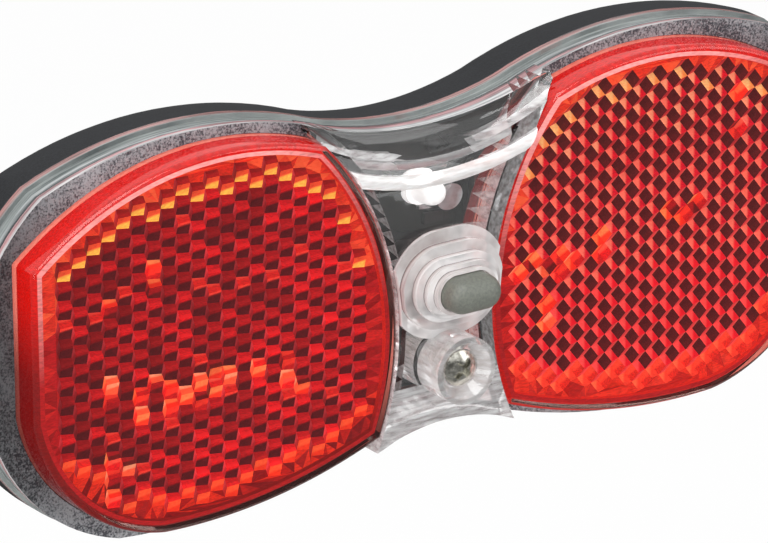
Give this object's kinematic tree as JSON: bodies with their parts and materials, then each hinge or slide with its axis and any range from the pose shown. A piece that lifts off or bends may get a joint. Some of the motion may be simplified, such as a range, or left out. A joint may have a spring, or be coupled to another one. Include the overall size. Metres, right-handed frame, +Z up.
{
  "type": "bicycle rear light",
  "caption": "Wide battery rear light for a luggage carrier: red prism reflectors under a clear cover, a waist with a push button and screw cup, and rear mounting bolts.",
  "frame": {"origin": "midpoint between the two carrier bolts, on the flat back face of the housing", "axes": "+X along the lamp, +Z up, reflectors face -Y, bolts point +Y"},
  "size_m": [0.12, 0.0405, 0.048],
  "materials": {
    "housing_plastic": "fine textured matt black",
    "clear_plastic": "glossy clear polycarbonate with a fine-textured ledge",
    "red_plastic": "glossy transparent red acrylic",
    "grey_plastic": "satin grey",
    "white_plastic": "satin",
    "black_plastic": "satin",
    "board": "solder-masked glass fibre board",
    "led_resin": "diffused epoxy",
    "tinned_wire": "tinned",
    "can_metal": "satin",
    "cell_jacket": "printed jacket, plain",
    "contact_steel": "nickel plated",
    "screw_steel": "bright zinc plated",
    "bolt_steel": "zinc plated"
  },
  "bodies": {
    "lamp": {"rear_housing": "housing_plastic", "front_cover": "clear_plastic", "reflector_left": "red_plastic", "reflector_right": "red_plastic", "switch_body": "black_plastic", "circuit_board": "board", "led_lamp": "led_resin", "led_leads": "tinned_wire", "driver_chip": "black_plastic", "resistor": "black_plastic", "capacitor": "can_metal", "battery_left": "cell_jacket", "battery_right": "cell_jacket", "spring_contact_left": "contact_steel", "spring_contact_right": "contact_steel", "plate_contact_left": "contact_steel", "plate_contact_right": "contact_steel", "cover_screw": "screw_steel", "board_screw_left": "screw_steel", "board_screw_right": "screw_steel", "mount_bolt_left": "bolt_steel", "mount_bolt_right": "bolt_steel"},
    "button": {"switch_button": "grey_plastic", "switch_plunger": "white_plastic"}
  },
  "joints": [
    {"name": "button_press", "type": "slide", "parent": "lamp", "child": "button", "axis": [0, 1, 0], "range_m": [0, 0.0012], "stiffness_N_per_m": 1500, "springref_m": -0.0008}
  ]
}
